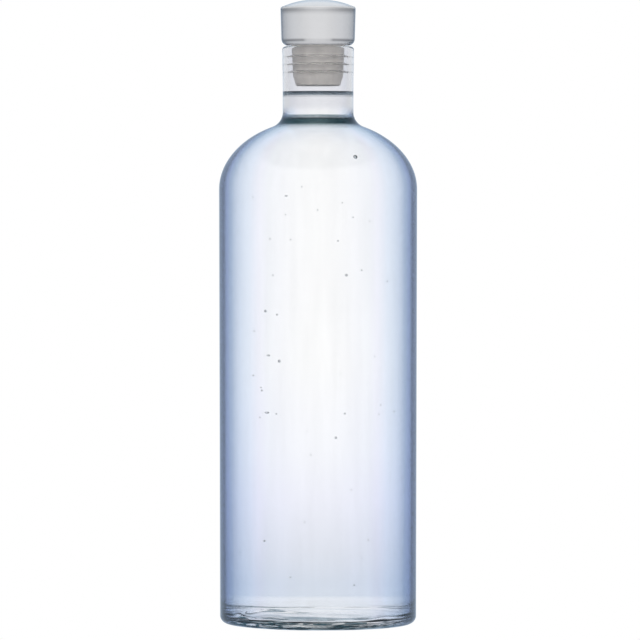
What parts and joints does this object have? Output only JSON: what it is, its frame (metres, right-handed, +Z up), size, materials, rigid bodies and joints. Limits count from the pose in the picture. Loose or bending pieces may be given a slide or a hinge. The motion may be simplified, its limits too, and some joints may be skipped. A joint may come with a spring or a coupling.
{
  "type": "stoppered glass bottle",
  "caption": "Round clear glass bottle with a domed shoulder, straight neck and shallow punt, closed by a lift-out stopper with a domed glass head and a finned polymer plug.",
  "frame": {"origin": "centre of the flat ring that the bottle stands on", "axes": "+Z up along the bottle's axis; the part is round, so X and Y are free, and -Y faces the picture's camera"},
  "size_m": [0.0762, 0.0762, 0.2404],
  "materials": {
    "bottle_glass": "polished clear glass with seed bubbles",
    "head_glass": "polished clear glass",
    "plug_polymer": "satin translucent polymer"
  },
  "bodies": {
    "bottle": {"bottle": "bottle_glass"},
    "stopper": {"stopper_head": "head_glass", "stopper_plug": "plug_polymer"}
  },
  "joints": [
    {"name": "stopper_lift", "type": "slide", "parent": "bottle", "child": "stopper", "axis": [0, 0, 1], "range_m": [0, 0.05]}
  ]
}
